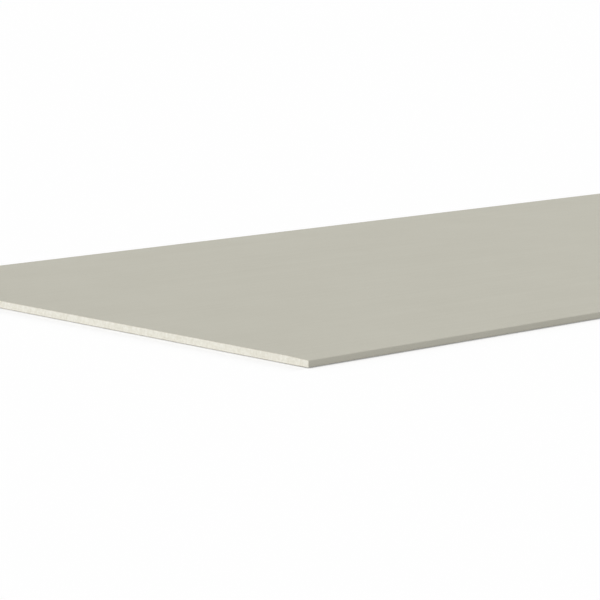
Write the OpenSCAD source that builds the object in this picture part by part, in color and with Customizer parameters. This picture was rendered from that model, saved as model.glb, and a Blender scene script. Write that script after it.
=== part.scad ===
// Drywall sheet with tapered long edges, lying flat with its face up.
// A gypsum core is cast between two papers. The face paper folds round both long edges and
// its margins turn in under the back, where the back paper is glued over them. The two ends
// are sawn square, so there the core shows between the cut edges of the papers.
// The origin is at the middle of the back, +X runs across the width and +Y along the length.

/* [Sheet] */
// Width from one long edge to the other
sheet_width = 1200; // [600:10:1250]
// Length from one sawn end to the other
sheet_length = 2500; // [1500:50:3600]
// Thickness from the back to the face, away from the tapers
sheet_thickness = 12.5; // [9.5:0.5:18]

/* [Tapered long edges] */
// How far in from a long edge the face starts to slope down
taper_width = 50; // [40:1:80]
// How much lower the face is at a long edge
taper_depth = 1.3; // [0.6:0.1:2.5]
// Outer radius of the face paper where it folds round a long edge
fold_radius = 1.5; // [1:0.1:3]

/* [Papers] */
// Thickness of the face paper
face_paper_thickness = 0.3; // [0.2:0.05:0.5]
// Thickness of the back paper
back_paper_thickness = 0.3; // [0.2:0.05:0.5]
// Width of each margin of the face paper that turns in under the back
margin_width = 25; // [15:1:40]
// How far the back paper stops short of a long edge
back_paper_setback = 8; // [4:1:12]

/* [Hidden] */
$fn = 64;
// How far a cut runs past the surface that it opens
overrun = 0.1;

half_width = sheet_width / 2;
// Height of the face at a long edge, where the taper ends
edge_top = sheet_thickness - taper_depth;
// Where the folds of the right-hand long edge turn: their distance from the middle and heights
fold_x = half_width - fold_radius;
lower_fold_z = back_paper_thickness + fold_radius;
upper_fold_z = edge_top - fold_radius;
// Where the face starts to slope down, measured from the middle
taper_x = half_width - taper_width;
// Distance between the two margins of the face paper under the back
margin_gap = sheet_width - 2 * margin_width;

// Section across the width of the core in its face paper, shrunk all round by an inset.
// The four folds keep their centres, so that an inset leaves a layer of even thickness.
module wrapped_section(inset) {
    underside = back_paper_thickness + inset;
    side = half_width - inset;
    right_half = [
        [fold_x, underside],
        [side, lower_fold_z],
        [side, upper_fold_z],
        [fold_x, edge_top - inset],
        [taper_x, sheet_thickness - inset]
    ];
    last = len(right_half) - 1;
    left_half = [for (i = [last:-1:0]) [-right_half[i].x, right_half[i].y]];
    polygon(concat(right_half, left_half));
    for (x = [-fold_x, fold_x], z = [lower_fold_z, upper_fold_z])
        translate([x, z]) circle(fold_radius - inset);
}

// Section of the core: all that the face paper wraps, down to the back paper between the margins.
// A drop carries it past the back paper, for use as a cut.
module core_section(drop = 0) {
    wrapped_section(face_paper_thickness);
    translate([-margin_gap / 2, back_paper_thickness - drop])
        square([margin_gap, sheet_thickness / 2]);
}

// Runs a section along the length of the sheet, with the section's second axis upright.
module along_length() {
    rotate([90, 0, 0])
        linear_extrude(sheet_length, center = true)
            children();
}

module gypsum_core() {
    color("#EEEBDD") along_length() core_section();
}

module face_paper() {
    color("#BFBDB1") along_length() difference() {
        wrapped_section(0);
        core_section(drop = overrun);
    }
}

module back_paper() {
    color("#ADA899") along_length()
        translate([-half_width + back_paper_setback, 0])
            square([sheet_width - 2 * back_paper_setback, back_paper_thickness]);
}

gypsum_core();
face_paper();
back_paper();
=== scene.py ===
import math
import random

import bmesh
import bpy
from mathutils import Matrix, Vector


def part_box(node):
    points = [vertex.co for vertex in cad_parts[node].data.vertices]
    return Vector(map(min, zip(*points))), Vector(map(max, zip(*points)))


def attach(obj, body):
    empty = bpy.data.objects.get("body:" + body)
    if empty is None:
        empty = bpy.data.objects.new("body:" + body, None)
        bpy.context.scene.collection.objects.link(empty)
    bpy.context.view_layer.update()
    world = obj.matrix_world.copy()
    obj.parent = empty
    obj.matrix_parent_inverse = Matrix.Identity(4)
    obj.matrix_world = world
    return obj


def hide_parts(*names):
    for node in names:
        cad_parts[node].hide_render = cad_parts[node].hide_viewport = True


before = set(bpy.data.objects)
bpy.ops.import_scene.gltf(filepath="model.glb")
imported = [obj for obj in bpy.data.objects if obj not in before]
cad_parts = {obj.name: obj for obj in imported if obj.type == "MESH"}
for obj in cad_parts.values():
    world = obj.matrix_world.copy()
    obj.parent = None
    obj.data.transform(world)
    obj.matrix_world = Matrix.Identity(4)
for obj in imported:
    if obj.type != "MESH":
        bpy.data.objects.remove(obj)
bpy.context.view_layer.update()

# Face paper
# A smooth grey sheet of recycled fibre, about 0.3 mm thick, that the board is cast on. It is creased
# twice near each long edge, folds round the edge there, and its margins turn in under the back.
TAPER_WIDTH = 0.050
TAPER_DEPTH = 0.0013
TAPER_STEPS = 8
FOLD_RADIUS = 0.0015
FOLD_STEPS = 8
MARGIN_WIDTH = 0.025
FACE_CELL = (0.0016, 0.050)  # across and along the board
FACE_WAVE_SIZE = 0.12
FACE_WAVE_HEIGHT = 0.0001
TEAR_SIZE = 0.005
TEAR_DEPTH = 0.0003
PAPER_SHARP_ANGLE = math.radians(40)  # creases that are steeper stay sharp
TINY = 1e-6

face_low, face_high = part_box("face_paper")
core_low, core_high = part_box("gypsum_core")
half_width = face_high.x
half_length = face_high.y
face_paper_thickness = face_high.z - core_high.z
taper_x = half_width - TAPER_WIDTH
fold_x = half_width - FOLD_RADIUS
upper_fold_z = face_high.z - TAPER_DEPTH - FOLD_RADIUS
lower_fold_z = face_low.z + FOLD_RADIUS


def add_grid(name, size, cell, **place):
    """Adds a flat grid of a size, with cells of about the given size, and opens it for editing."""
    bpy.ops.object.select_all(action="DESELECT")
    columns, rows = (round(length / step) for length, step in zip(size, cell))
    bpy.ops.mesh.primitive_grid_add(x_subdivisions=columns, y_subdivisions=rows, size=1, **place)
    piece = bpy.context.object
    piece.name = name
    piece.scale = (*size, 1)
    bpy.ops.object.transform_apply(location=True, rotation=True, scale=True)
    bpy.ops.object.mode_set(mode="EDIT")
    return piece


def select_edges(piece, test):
    """Selects the edges of the mesh being edited whose two ends both pass a test of their place."""
    bpy.ops.mesh.select_mode(type="EDGE")
    bpy.ops.mesh.select_all(action="DESELECT")
    mesh = bmesh.from_edit_mesh(piece.data)
    for edge in mesh.edges:
        edge.select_set(all(test(vertex.co) for vertex in edge.verts))
    bmesh.update_edit_mesh(piece.data)


def extrude_edges(x=0, z=0):
    """Draws the selected edges out by a step across the board and up, and selects the new edges."""
    bpy.ops.mesh.extrude_edges_move(TRANSFORM_OT_translate={"value": (x, 0, z)})


def fold_edges(x, z):
    """Turns the selected edges a quarter round a line along the board, which leaves a round fold."""
    bpy.ops.mesh.spin(steps=FOLD_STEPS, angle=-math.pi / 2, center=(x, 0, z), axis=(0, 1, 0))


def close_editing():
    """Merges the doubles of the mesh being edited, turns its faces outwards and ends the editing."""
    bpy.ops.mesh.select_mode(type="VERT")
    bpy.ops.mesh.select_all(action="SELECT")
    bpy.ops.mesh.remove_doubles(threshold=TINY)
    bpy.ops.mesh.normals_make_consistent(inside=False)
    bpy.ops.object.mode_set(mode="OBJECT")


def apply_modifier(piece, kind, **settings):
    """Adds a modifier with its settings to a piece and applies it."""
    modifier = piece.modifiers.new(kind.lower(), kind)
    for setting, value in settings.items():
        setattr(modifier, setting, value)
    bpy.context.view_layer.objects.active = piece
    bpy.ops.object.modifier_apply(modifier=modifier.name)


def weigh_vertices(piece, group_name, weight):
    """Makes a vertex group, with each vertex weighed by a function of its place, and returns its name."""
    group = piece.vertex_groups.new(name=group_name)
    for vertex in piece.data.vertices:
        group.add([vertex.index], weight(vertex.co), "REPLACE")
    return group.name


def roughen(piece, vertex_group, name, size, depth, detail, **settings):
    """Moves the vertices of a group by soft noise with patches of a given size, over a given depth."""
    clouds = bpy.data.textures.new(name, "CLOUDS")
    clouds.noise_scale = size
    clouds.noise_depth = detail
    settings = {"texture_coords": "LOCAL", "mid_level": 0.5, **settings}
    apply_modifier(
        piece, "DISPLACE", texture=clouds, strength=depth, vertex_group=vertex_group, **settings
    )


def on_the_flat(place):
    """Full weight on the flat of the face, none on the tapers, the folds and the margins."""
    return float(place.z > face_high.z - TAPER_DEPTH / TAPER_STEPS / 2)


def at_the_cut(place):
    """Full weight along the two sawn ends, none elsewhere."""
    return float(abs(place.y) > half_length - TINY)


# Half of the flat of the face, then its taper, the long edge between its two folds, and the margin
face_paper = add_grid(
    "face_paper_sheet", (taper_x, 2 * half_length), FACE_CELL, location=(taper_x / 2, 0, face_high.z)
)
select_edges(face_paper, lambda place: place.x > taper_x - TINY)
for _ in range(TAPER_STEPS):
    extrude_edges(x=(fold_x - taper_x) / TAPER_STEPS, z=-TAPER_DEPTH / TAPER_STEPS)
fold_edges(fold_x, upper_fold_z)
extrude_edges(z=lower_fold_z - upper_fold_z)
fold_edges(fold_x, lower_fold_z)
extrude_edges(x=FOLD_RADIUS - MARGIN_WIDTH)
close_editing()
apply_modifier(face_paper, "MIRROR", use_mirror_merge=True, merge_threshold=TINY)
flat_of_face = weigh_vertices(face_paper, "flat of the face", on_the_flat)
roughen(face_paper, flat_of_face, "waves", FACE_WAVE_SIZE, FACE_WAVE_HEIGHT, detail=1, direction="Z")
cut_of_face = weigh_vertices(face_paper, "cut of the face paper", at_the_cut)
roughen(face_paper, cut_of_face, "torn fibres", TEAR_SIZE, TEAR_DEPTH, detail=3, direction="Y")
apply_modifier(face_paper, "SOLIDIFY", thickness=face_paper_thickness, offset=-1, use_even_offset=True)
bpy.ops.object.shade_smooth_by_angle(angle=PAPER_SHARP_ANGLE)

# Looks of both papers
CLOUD_SIZE = 0.16
STREAK_SIZE = 0.012
STREAK_STRETCH = (1, 90, 1)
LINE_SIZE = 0.0014
LINE_STRETCH = (1, 60, 1)
FORMATION_SIZE = 0.004
FORMATION_DEPTH = 0.00003
FELT_SIZE = 0.0007
FELT_DEPTH = 0.000012
FIBRE_LENGTHS = (0.0042, 0.0030, 0.0019)
FIBRE_WIDTH = 0.00014
FIBRE_DEPTH = 0.00003
FIBRE_CONTRAST = 2.1
FIBRE_FULL_SHARE = 0.3  # shares of a fibre's length, from its middle
FIBRE_TIP_SHARE = 0.5
FLECK_SPACING = 0.004
FLECK_RADIUS = 0.0005
SPOT_FULL_SHARE = 0.35  # shares of the radius of a fleck or a bubble
SPOT_SMALLEST_SHARE = 0.4
SPOT_WOBBLE_SIZE_SHARE = 1.2
SPOT_WOBBLE_REACH_SHARE = 1.6
SMOOTHEST_PAPER = 0.78
ROUGHEST_PAPER = 0.9
PAPER_SHINE = 0.25
MIDDLE = 0.5  # noise and random lots run from 0 to 1 about this
USUAL_NOISE = (0.3, 0.7)  # noise seldom leaves this range


def feed(node, inputs):
    """Gives inputs of a node their values: plain ones, or the output of another node."""
    for socket, value in inputs.items():
        if isinstance(value, bpy.types.Node):
            value = value.outputs[0]
        if isinstance(value, bpy.types.NodeSocket):
            node.id_data.links.new(value, node.inputs[socket])
        else:
            node.inputs[socket].default_value = value


def add_node(tree, kind, inputs, **settings):
    """Adds a shader node with its settings and inputs."""
    node = tree.nodes.new("ShaderNode" + kind)
    for setting, value in settings.items():
        setattr(node, setting, value)
    feed(node, inputs)
    return node


def new_material(name):
    """Makes a material, and returns it with its node tree and its shader."""
    material = bpy.data.materials.new(name)
    material.use_nodes = True
    tree = material.node_tree
    return material, tree, tree.nodes["Principled BSDF"]


def calculate(tree, operation, *values):
    """Adds one step of arithmetic on plain numbers and the outputs of other nodes."""
    return add_node(tree, "Math", dict(enumerate(values)), operation=operation)


def ramp(tree, value, start, end, low=0, high=1):
    """Turns a value that runs from a start to an end into one that runs softly from low to high."""
    inputs = {0: value, 1: start, 2: end, 3: low, 4: high}
    return add_node(tree, "MapRange", inputs, interpolation_type="SMOOTHSTEP")


def mix(tree, share, first, second):
    """Mixes two colours by the share of the second."""
    mixer = add_node(tree, "Mix", {0: share, 6: first, 7: second}, data_type="RGBA")
    return mixer.outputs[2]


def noise(tree, place, size, detail, stretch=(1, 1, 1)):
    """Noise with patches of about the given size in metres, drawn out by a stretch along each axis."""
    drawn = add_node(tree, "Mapping", {"Vector": place, "Scale": [1 / (size * s) for s in stretch]})
    return add_node(tree, "TexNoise", {"Vector": drawn, "Scale": 1, "Detail": detail})


def blend(tree, noises_and_weights):
    """Adds up noises about their middle by their weights, to a tone that lies about the same middle."""
    tone = MIDDLE
    for layer, weight in noises_and_weights:
        centred = calculate(tree, "SUBTRACT", layer, MIDDLE)
        tone = calculate(tree, "MULTIPLY_ADD", centred, weight, tone)
    tone.use_clamp = True
    return tone


def spots(tree, place, spacing, radius, share):
    """A mask of small spots of uneven size and outline, in a share of the cells of a given spacing."""
    wobble = noise(tree, place, SPOT_WOBBLE_SIZE_SHARE * radius, detail=3).outputs["Color"]
    reach = SPOT_WOBBLE_REACH_SHARE * radius
    shift = add_node(tree, "VectorMath", {0: wobble, "Scale": reach}, operation="SCALE")
    shifted = add_node(tree, "VectorMath", {0: place, 1: shift}, operation="ADD")
    cells = add_node(tree, "TexVoronoi", {"Vector": shifted, "Scale": 1 / spacing})
    lot = add_node(tree, "SeparateColor", {0: cells.outputs["Color"]})
    chosen = calculate(tree, "LESS_THAN", lot.outputs[0], share)
    largest = radius / spacing
    rim = ramp(tree, lot.outputs[1], 0, 1, low=SPOT_SMALLEST_SHARE * largest, high=largest)
    full = calculate(tree, "MULTIPLY", rim, SPOT_FULL_SHARE)
    return calculate(tree, "MULTIPLY", ramp(tree, cells, rim, full), chosen)


def loose_fibres(tree, flat, length, width):
    """Curved fibres that lie every way in a flat sheet, one to a cell: from -0.5 dark to 0.5 pale."""
    scaled = add_node(tree, "VectorMath", {0: flat, "Scale": 1 / length}, operation="SCALE")
    cells = add_node(tree, "TexVoronoi", {"Vector": scaled, "Scale": 1}, voronoi_dimensions="2D")
    lot = add_node(tree, "SeparateColor", {0: cells.outputs["Color"]})
    offset = add_node(tree, "VectorMath", {0: scaled, 1: cells.outputs["Position"]}, operation="SUBTRACT")
    angle = calculate(tree, "MULTIPLY", lot.outputs[0], math.pi)
    turned = add_node(tree, "VectorRotate", {"Vector": offset, "Angle": angle}, rotation_type="Z_AXIS")
    axes = add_node(tree, "SeparateXYZ", {0: turned})
    along, aside = axes.outputs["X"], axes.outputs["Y"]
    curve = calculate(tree, "SUBTRACT", lot.outputs[1], MIDDLE)
    bowed = calculate(tree, "MULTIPLY_ADD", calculate(tree, "POWER", along, 2), curve, aside)
    thin = ramp(tree, calculate(tree, "ABSOLUTE", bowed), width / length, 0)
    short = ramp(tree, calculate(tree, "ABSOLUTE", along), FIBRE_TIP_SHARE, FIBRE_FULL_SHARE)
    shade = calculate(tree, "SUBTRACT", lot.outputs[2], MIDDLE)
    return calculate(tree, "MULTIPLY", calculate(tree, "MULTIPLY", thin, short), shade)


def bump(tree, height, depth, under=None):
    """Small relief of a given depth in metres, on top of other relief."""
    inputs = {"Height": height, "Distance": depth, "Strength": 1}
    if under:
        inputs["Normal"] = under
    return add_node(tree, "Bump", inputs)


def paper_material(name, dark, pale, cut, fleck, fleck_share, coarseness, wrapped_height=None):
    """Paper of recycled fibre: cloudy, streaked along the machine, with fibres, flecks and a raw cut.
    Where it wraps the long edges, its pattern runs on down the edge from a given height."""
    material, tree, shader = new_material(name)
    place = add_node(tree, "TexCoord", {}).outputs["Object"]
    axes = add_node(tree, "SeparateXYZ", {0: place})
    across, along = axes.outputs["X"], axes.outputs["Y"]
    if wrapped_height:
        drop = calculate(tree, "SUBTRACT", wrapped_height, axes.outputs["Z"])
        across = calculate(tree, "MULTIPLY_ADD", drop, calculate(tree, "SIGN", across), across)
    flat = add_node(tree, "CombineXYZ", {"X": across, "Y": along}).outputs[0]

    clouds = noise(tree, flat, CLOUD_SIZE, detail=3)
    streaks = noise(tree, flat, STREAK_SIZE, detail=3, stretch=STREAK_STRETCH)
    lines = noise(tree, flat, LINE_SIZE, detail=2, stretch=LINE_STRETCH)
    formation = noise(tree, flat, FORMATION_SIZE * coarseness, detail=5)
    felt = noise(tree, flat, FELT_SIZE * coarseness, detail=3)
    tone = blend(tree, [(clouds, 0.6), (streaks, 0.6), (lines, 0.4), (formation, 0.8), (felt, 1)])
    for length in FIBRE_LENGTHS:
        fibres = loose_fibres(tree, flat, length * coarseness, FIBRE_WIDTH * coarseness)
        tone = calculate(tree, "MULTIPLY_ADD", fibres, FIBRE_CONTRAST, tone)

    flecks = spots(tree, flat, FLECK_SPACING, FLECK_RADIUS, fleck_share)
    from_middle = calculate(tree, "ABSOLUTE", along)
    sawn = calculate(tree, "GREATER_THAN", from_middle, half_length - TEAR_DEPTH)
    colour = mix(tree, tone, dark, pale)
    colour = mix(tree, flecks, colour, fleck)
    colour = mix(tree, sawn, colour, cut)
    relief = bump(tree, formation, FORMATION_DEPTH * coarseness)
    relief = bump(tree, felt, FELT_DEPTH * coarseness, relief)
    relief = bump(tree, tone, FIBRE_DEPTH * coarseness, relief)
    roughness = ramp(tree, formation, *USUAL_NOISE, low=SMOOTHEST_PAPER, high=ROUGHEST_PAPER)
    feed(shader, {"Base Color": colour, "Roughness": roughness, "Normal": relief})
    feed(shader, {"Specular IOR Level": PAPER_SHINE})
    return material


face_paper.data.materials.append(
    paper_material(
        "face_paper",
        dark=(0.498, 0.483, 0.410, 1),
        pale=(0.552, 0.540, 0.465, 1),
        cut=(0.50, 0.47, 0.38, 1),
        fleck=(0.44, 0.41, 0.33, 1),
        fleck_share=0.4,
        coarseness=1,
        wrapped_height=face_high.z,
    )
)
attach(face_paper, "root")
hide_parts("face_paper")

# Gypsum core
# Foamed gypsum, cast wet between the two papers and set hard. It shows only at the two ends, where the
# dried board was sawn square, as a cream band with pores and the slanted marks of the saw.
END_CELL = (0.0012, 0.0012)
DENSE_LAYER = 0.0015  # next to the papers, without pores
PORE_SCATTER_SIZE = 0.0024  # the grid is shaken by this noise, so that the pores lie unevenly
PORE_SCATTER = 0.0014
PORE_RADII_AND_SHARES = ((0.00055, 0.012), (0.00036, 0.06), (0.00022, 0.15))  # shares of the vertices
PORE_ROOM = 1.2  # shortest edge at the middle of a pore, in radii
PORE_RIM_STEPS = 2
PORE_RIM_PROFILE = 0.085  # this bevel profile gives a round rim
PORE_INSETS_AND_DROPS = ((0.25, 0.7), (0.33, 0.3))  # in radii, from the rim to the bottom
PORE_SEED = 12
CRUMB_SIZE = 0.003
CRUMB_DEPTH = 0.00015
SAW_MARK_SIZE = (0.0025, 1, 0.030)  # across, through and along a mark
SAW_MARK_SLANT = math.radians(25)
SAW_MARK_DEPTH = 0.00015
GYPSUM_SHARP_ANGLE = math.radians(60)
FLAT_NORMAL = 0.999  # least part of a normal that runs along the board, on the flat of an end

core_bottom = face_low.z + face_paper_thickness
core_fold_radius = FOLD_RADIUS - face_paper_thickness
margin_x = half_width - MARGIN_WIDTH


def slice_grid(x, z, across, up, drop_outside):
    """Slices the upright grid at both long edges, through a point and square to a direction outwards."""
    for side in (-1, 1):
        bpy.ops.mesh.select_all(action="SELECT")
        bpy.ops.mesh.bisect(
            plane_co=(side * x, 0, z),
            plane_no=(side * across, 0, up),
            clear_outer=drop_outside,
            threshold=TINY,
        )


def inside_the_end(place):
    """Weight on the sawn ends, which falls off to none where the core is dense, next to the papers."""
    top = core_high.z - TAPER_DEPTH * max(0, (abs(place.x) - taper_x) / (fold_x - taper_x))
    depth = min(top - place.z, place.z - core_bottom, core_high.x - abs(place.x))
    return min(1, max(0, depth / DENSE_LAYER))


def select_pore_middles(piece, radius, share, chance):
    """Selects scattered vertices of the flat of the ends that have room for a pore, none beside another."""
    bpy.ops.mesh.select_mode(type="VERT")
    bpy.ops.mesh.select_all(action="DESELECT")
    mesh = bmesh.from_edit_mesh(piece.data)
    for vertex in mesh.verts:
        flat = abs(vertex.normal.y) > FLAT_NORMAL
        if flat and inside_the_end(vertex.co) == 1 and chance.random() < share:
            room = min(edge.calc_length() for edge in vertex.link_edges)
            beside = any(edge.other_vert(vertex).select for edge in vertex.link_edges)
            vertex.select_set(room > PORE_ROOM * radius and not beside)
    bmesh.update_edit_mesh(piece.data)


# One end, cut to the outline inside the papers and drawn out along the whole length
core = add_grid(
    "gypsum_slab",
    (2 * core_high.x, core_high.z - core_bottom),
    END_CELL,
    location=(0, -half_length, (core_high.z + core_bottom) / 2),
    rotation=(math.pi / 2, 0, 0),
)
slice_grid(margin_x, core_bottom, across=1, up=0, drop_outside=False)
slice_grid(taper_x, core_high.z, across=TAPER_DEPTH, up=fold_x - taper_x, drop_outside=True)
for fold_z, upward in ((upper_fold_z, 1), (lower_fold_z, -1)):
    for step in range(1, FOLD_STEPS):
        angle = math.pi / 2 * step / FOLD_STEPS
        across, up = math.cos(angle), upward * math.sin(angle)
        round_x = fold_x + core_fold_radius * across
        round_z = fold_z + core_fold_radius * up
        slice_grid(round_x, round_z, across, up, drop_outside=True)
select_edges(core, lambda place: place.z < core_bottom + TINY and abs(place.x) < margin_x + TINY)
extrude_edges(z=core_low.z - core_bottom)
bpy.ops.mesh.select_all(action="SELECT")
bpy.ops.mesh.extrude_region_move(TRANSFORM_OT_translate={"value": (0, 2 * half_length, 0)})
close_editing()

# Pores, crumbs and saw marks at both ends
sawn_ends = weigh_vertices(core, "sawn ends", inside_the_end)
for axis in "XZ":
    roughen(core, sawn_ends, "scatter " + axis, PORE_SCATTER_SIZE, PORE_SCATTER, detail=1, direction=axis)
chance = random.Random(PORE_SEED)
bpy.ops.object.mode_set(mode="EDIT")
for radius, share in PORE_RADII_AND_SHARES:
    select_pore_middles(core, radius, share, chance)
    bpy.ops.mesh.bevel(
        affect="VERTICES", offset=radius, segments=PORE_RIM_STEPS, profile=PORE_RIM_PROFILE
    )
    bpy.ops.mesh.select_mode(type="FACE")
    bpy.ops.mesh.dissolve_faces()
    for inset, drop in PORE_INSETS_AND_DROPS:
        bpy.ops.mesh.inset(thickness=inset * radius, depth=-drop * radius, use_individual=True)
bpy.ops.object.mode_set(mode="OBJECT")
roughen(core, sawn_ends, "crumbs", CRUMB_SIZE, CRUMB_DEPTH, detail=2, mid_level=1)
# An empty gives the noise of the saw marks its slant and size
bpy.ops.object.empty_add(rotation=(0, SAW_MARK_SLANT, 0))
saw = bpy.context.object
saw.scale = SAW_MARK_SIZE
bpy.context.view_layer.update()
along_saw = {"texture_coords": "OBJECT", "texture_coords_object": saw}
roughen(core, sawn_ends, "saw marks", 1, SAW_MARK_DEPTH, detail=2, mid_level=1, **along_saw)
bpy.data.objects.remove(saw)
core.select_set(True)
bpy.ops.object.shade_smooth_by_angle(angle=GYPSUM_SHARP_ANGLE)

# Looks of the gypsum
GRIT_SIZE = 0.0007
GRIT_DEPTH = 0.00008
MOTTLE_SIZE = 0.0055
CLUMP_SIZE = 0.018
BUBBLE_SPACING = 0.0007
BUBBLE_RADIUS = 0.00025
BUBBLE_DEPTH = BUBBLE_RADIUS / 3
BUBBLE_SHARE = 0.8
# Share of painted shade in the tiny bubbles, which are bumps only
PAINTED_BUBBLE_SHADE_SHARE = 0.5
# Painted shade in the pores: between these depths the colour deepens to this share of the shaded colour
PAINTED_PORE_SHADE_DEPTHS = (0.0003, 0.0008)  # the colour deepens between these
PAINTED_PORE_SHADE_SHARE = 0.4
GYPSUM_DARK = (0.779, 0.755, 0.659, 1)
GYPSUM_PALE = (0.869, 0.852, 0.771, 1)
# Painted shade: the colour the ends take deep in pores and bubbles, in place of the shade inside them
GYPSUM_PAINTED_PORE_SHADE = (0.60, 0.57, 0.48, 1)
GYPSUM_ROUGHNESS = 0.92
GYPSUM_SHINE = 0.3


def gypsum_material(name):
    """Foamed gypsum: mottled, gritty, with bubbles and saw marks, and with shade painted into its pores."""
    material, tree, shader = new_material(name)
    place = add_node(tree, "TexCoord", {}).outputs["Object"]
    grit = noise(tree, place, GRIT_SIZE, detail=4)
    mottle = noise(tree, place, MOTTLE_SIZE, detail=3)
    clumps = noise(tree, place, CLUMP_SIZE, detail=3)
    slanted = add_node(tree, "Mapping", {"Vector": place, "Rotation": (0, -SAW_MARK_SLANT, 0)}).outputs[0]
    mark_stretch = [length / SAW_MARK_SIZE[0] for length in SAW_MARK_SIZE]
    marks = noise(tree, slanted, SAW_MARK_SIZE[0], detail=2, stretch=mark_stretch)
    tone = blend(tree, [(grit, 0.9), (mottle, 2.6), (clumps, 1.4), (marks, 0.9)])

    along = add_node(tree, "SeparateXYZ", {0: place}).outputs["Y"]
    from_middle = calculate(tree, "ABSOLUTE", along)
    # Painted shade: the colour darkens with depth into the modelled pores, for the shade that falls in them
    shade_start, shade_end = (half_length - depth for depth in PAINTED_PORE_SHADE_DEPTHS)
    painted_pore_shade = ramp(tree, from_middle, shade_start, shade_end, high=PAINTED_PORE_SHADE_SHARE)
    bubbles = spots(tree, place, BUBBLE_SPACING, BUBBLE_RADIUS, BUBBLE_SHARE)
    # Painted shade: the tiny bubbles are darkened where shade would fall in them
    painted_bubble_shade = calculate(tree, "MULTIPLY", bubbles, PAINTED_BUBBLE_SHADE_SHARE)
    colour = mix(tree, tone, GYPSUM_DARK, GYPSUM_PALE)
    colour = mix(tree, painted_pore_shade, colour, GYPSUM_PAINTED_PORE_SHADE)
    colour = mix(tree, painted_bubble_shade, colour, GYPSUM_PAINTED_PORE_SHADE)
    relief = bump(tree, grit, GRIT_DEPTH)
    relief = bump(tree, calculate(tree, "SUBTRACT", 1, bubbles), BUBBLE_DEPTH, relief)
    feed(shader, {"Base Color": colour, "Normal": relief})
    feed(shader, {"Roughness": GYPSUM_ROUGHNESS, "Specular IOR Level": GYPSUM_SHINE})
    return material


core.data.materials.append(gypsum_material("gypsum"))
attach(core, "root")
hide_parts("gypsum_core")

# Back paper
# A coarser grey-brown paper, glued over the wet core and over the turned-in margins of the face paper.
# It is slit a little narrower than the board, so that it stops short of both long edges.
BACK_CELL = (0.002, 0.100)
BACK_TEAR_SIZE = 0.008

back_low, back_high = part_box("back_paper")
back_paper = add_grid(
    "back_paper_sheet", (2 * back_high.x, 2 * half_length), BACK_CELL, location=(0, 0, back_low.z)
)
bpy.ops.mesh.flip_normals()
bpy.ops.object.mode_set(mode="OBJECT")
cut_of_back = weigh_vertices(back_paper, "cut of the back paper", at_the_cut)
roughen(
    back_paper, cut_of_back, "torn coarse fibres", BACK_TEAR_SIZE, TEAR_DEPTH, detail=2, direction="Y"
)
apply_modifier(back_paper, "SOLIDIFY", thickness=back_high.z - back_low.z, offset=-1)
back_paper.data.materials.append(
    paper_material(
        "back_paper",
        dark=(0.36, 0.335, 0.275, 1),
        pale=(0.47, 0.44, 0.365, 1),
        cut=(0.42, 0.38, 0.30, 1),
        fleck=(0.25, 0.22, 0.17, 1),
        fleck_share=0.7,
        coarseness=1.4,
    )
)
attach(back_paper, "root")
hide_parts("back_paper")

# Floor
# A plain white floor that runs past the edges of every view and keeps the sheet's soft shadow. It lies
# a millimetre below the sheet, so that a thin shadow shows all along under its edges.
FLOOR_SIZE = 80
FLOOR_GAP = 0.001
FLOOR_COLOUR = (0.8, 0.8, 0.8, 1)
FLOOR_GLOW = 0.243  # makes the floor white where it is seen
WHITE = (1, 1, 1, 1)

bpy.ops.object.select_all(action="DESELECT")
bpy.ops.mesh.primitive_plane_add(size=FLOOR_SIZE, location=(0, 0, -FLOOR_GAP))
floor = bpy.context.object
floor.name = "floor"


def background_rays(tree):
    """One for rays that show the background, straight or by way of gloss or glass, and zero for others."""
    path = add_node(tree, "LightPath", {})
    rays = path.outputs["Is Camera Ray"]
    for kind in ("Is Glossy Ray", "Is Transmission Ray"):
        rays = calculate(tree, "MAXIMUM", rays, path.outputs[kind])
    return rays


floor_paint, tree, shader = new_material("floor")
feed(shader, {"Base Color": FLOOR_COLOUR, "Roughness": 1, "Specular IOR Level": 0})
glow = calculate(tree, "MULTIPLY", background_rays(tree), FLOOR_GLOW)
feed(shader, {"Emission Color": WHITE, "Emission Strength": glow})
floor.data.materials.append(floor_paint)

# Light
# A large soft lamp in front of the near end, a little to the right, a weaker one behind the far end, and
# an even white surround.
SURROUND_STRENGTH = 0.614
LAMP_SPREAD = math.radians(30)

world = bpy.data.worlds.new("surround")
bpy.context.scene.world = world
world.use_nodes = True
strength = ramp(world.node_tree, background_rays(world.node_tree), 0, 1, low=SURROUND_STRENGTH)
feed(world.node_tree.nodes["Background"], {"Color": WHITE, "Strength": strength})


def add_lamp(name, strength, height, turn):
    """Adds a large soft lamp at an angle above the floor, turned round the sheet from its near end."""
    bpy.ops.object.light_add(type="SUN", rotation=(math.pi / 2 - height, 0, turn))
    lamp = bpy.context.object
    lamp.name = name
    lamp.data.energy = strength
    lamp.data.angle = LAMP_SPREAD


add_lamp("key", strength=1.28, height=math.radians(34.7), turn=math.radians(4))
add_lamp("fill", strength=0.69, height=math.radians(25), turn=math.radians(180))

# Camera
# It stands off the near right-hand corner of the sheet, a little above it, and looks over the face
# through a long lens.
FRAME_PIXELS = 600
FOCAL_PIXELS = 2397
CAMERA_PLACE = (3.243, -3.540, 0.6415)
CAMERA_TURN = math.radians(49.28)
CAMERA_DIP = math.radians(8.77)
CAMERA_ROLL = math.radians(-0.78)

bpy.ops.object.camera_add(location=CAMERA_PLACE)
camera = bpy.context.object
camera.data.lens = FOCAL_PIXELS / FRAME_PIXELS * camera.data.sensor_width
turn = Matrix.Rotation(CAMERA_TURN, 3, "Z")
tilt = Matrix.Rotation(math.pi / 2 - CAMERA_DIP, 3, "X")
roll = Matrix.Rotation(CAMERA_ROLL, 3, "Z")
camera.rotation_euler = (turn @ tilt @ roll).to_euler()
bpy.context.scene.camera = camera
bpy.context.scene.view_settings.view_transform = "Standard"

# The scene is brought up to date.
bpy.context.view_layer.update()
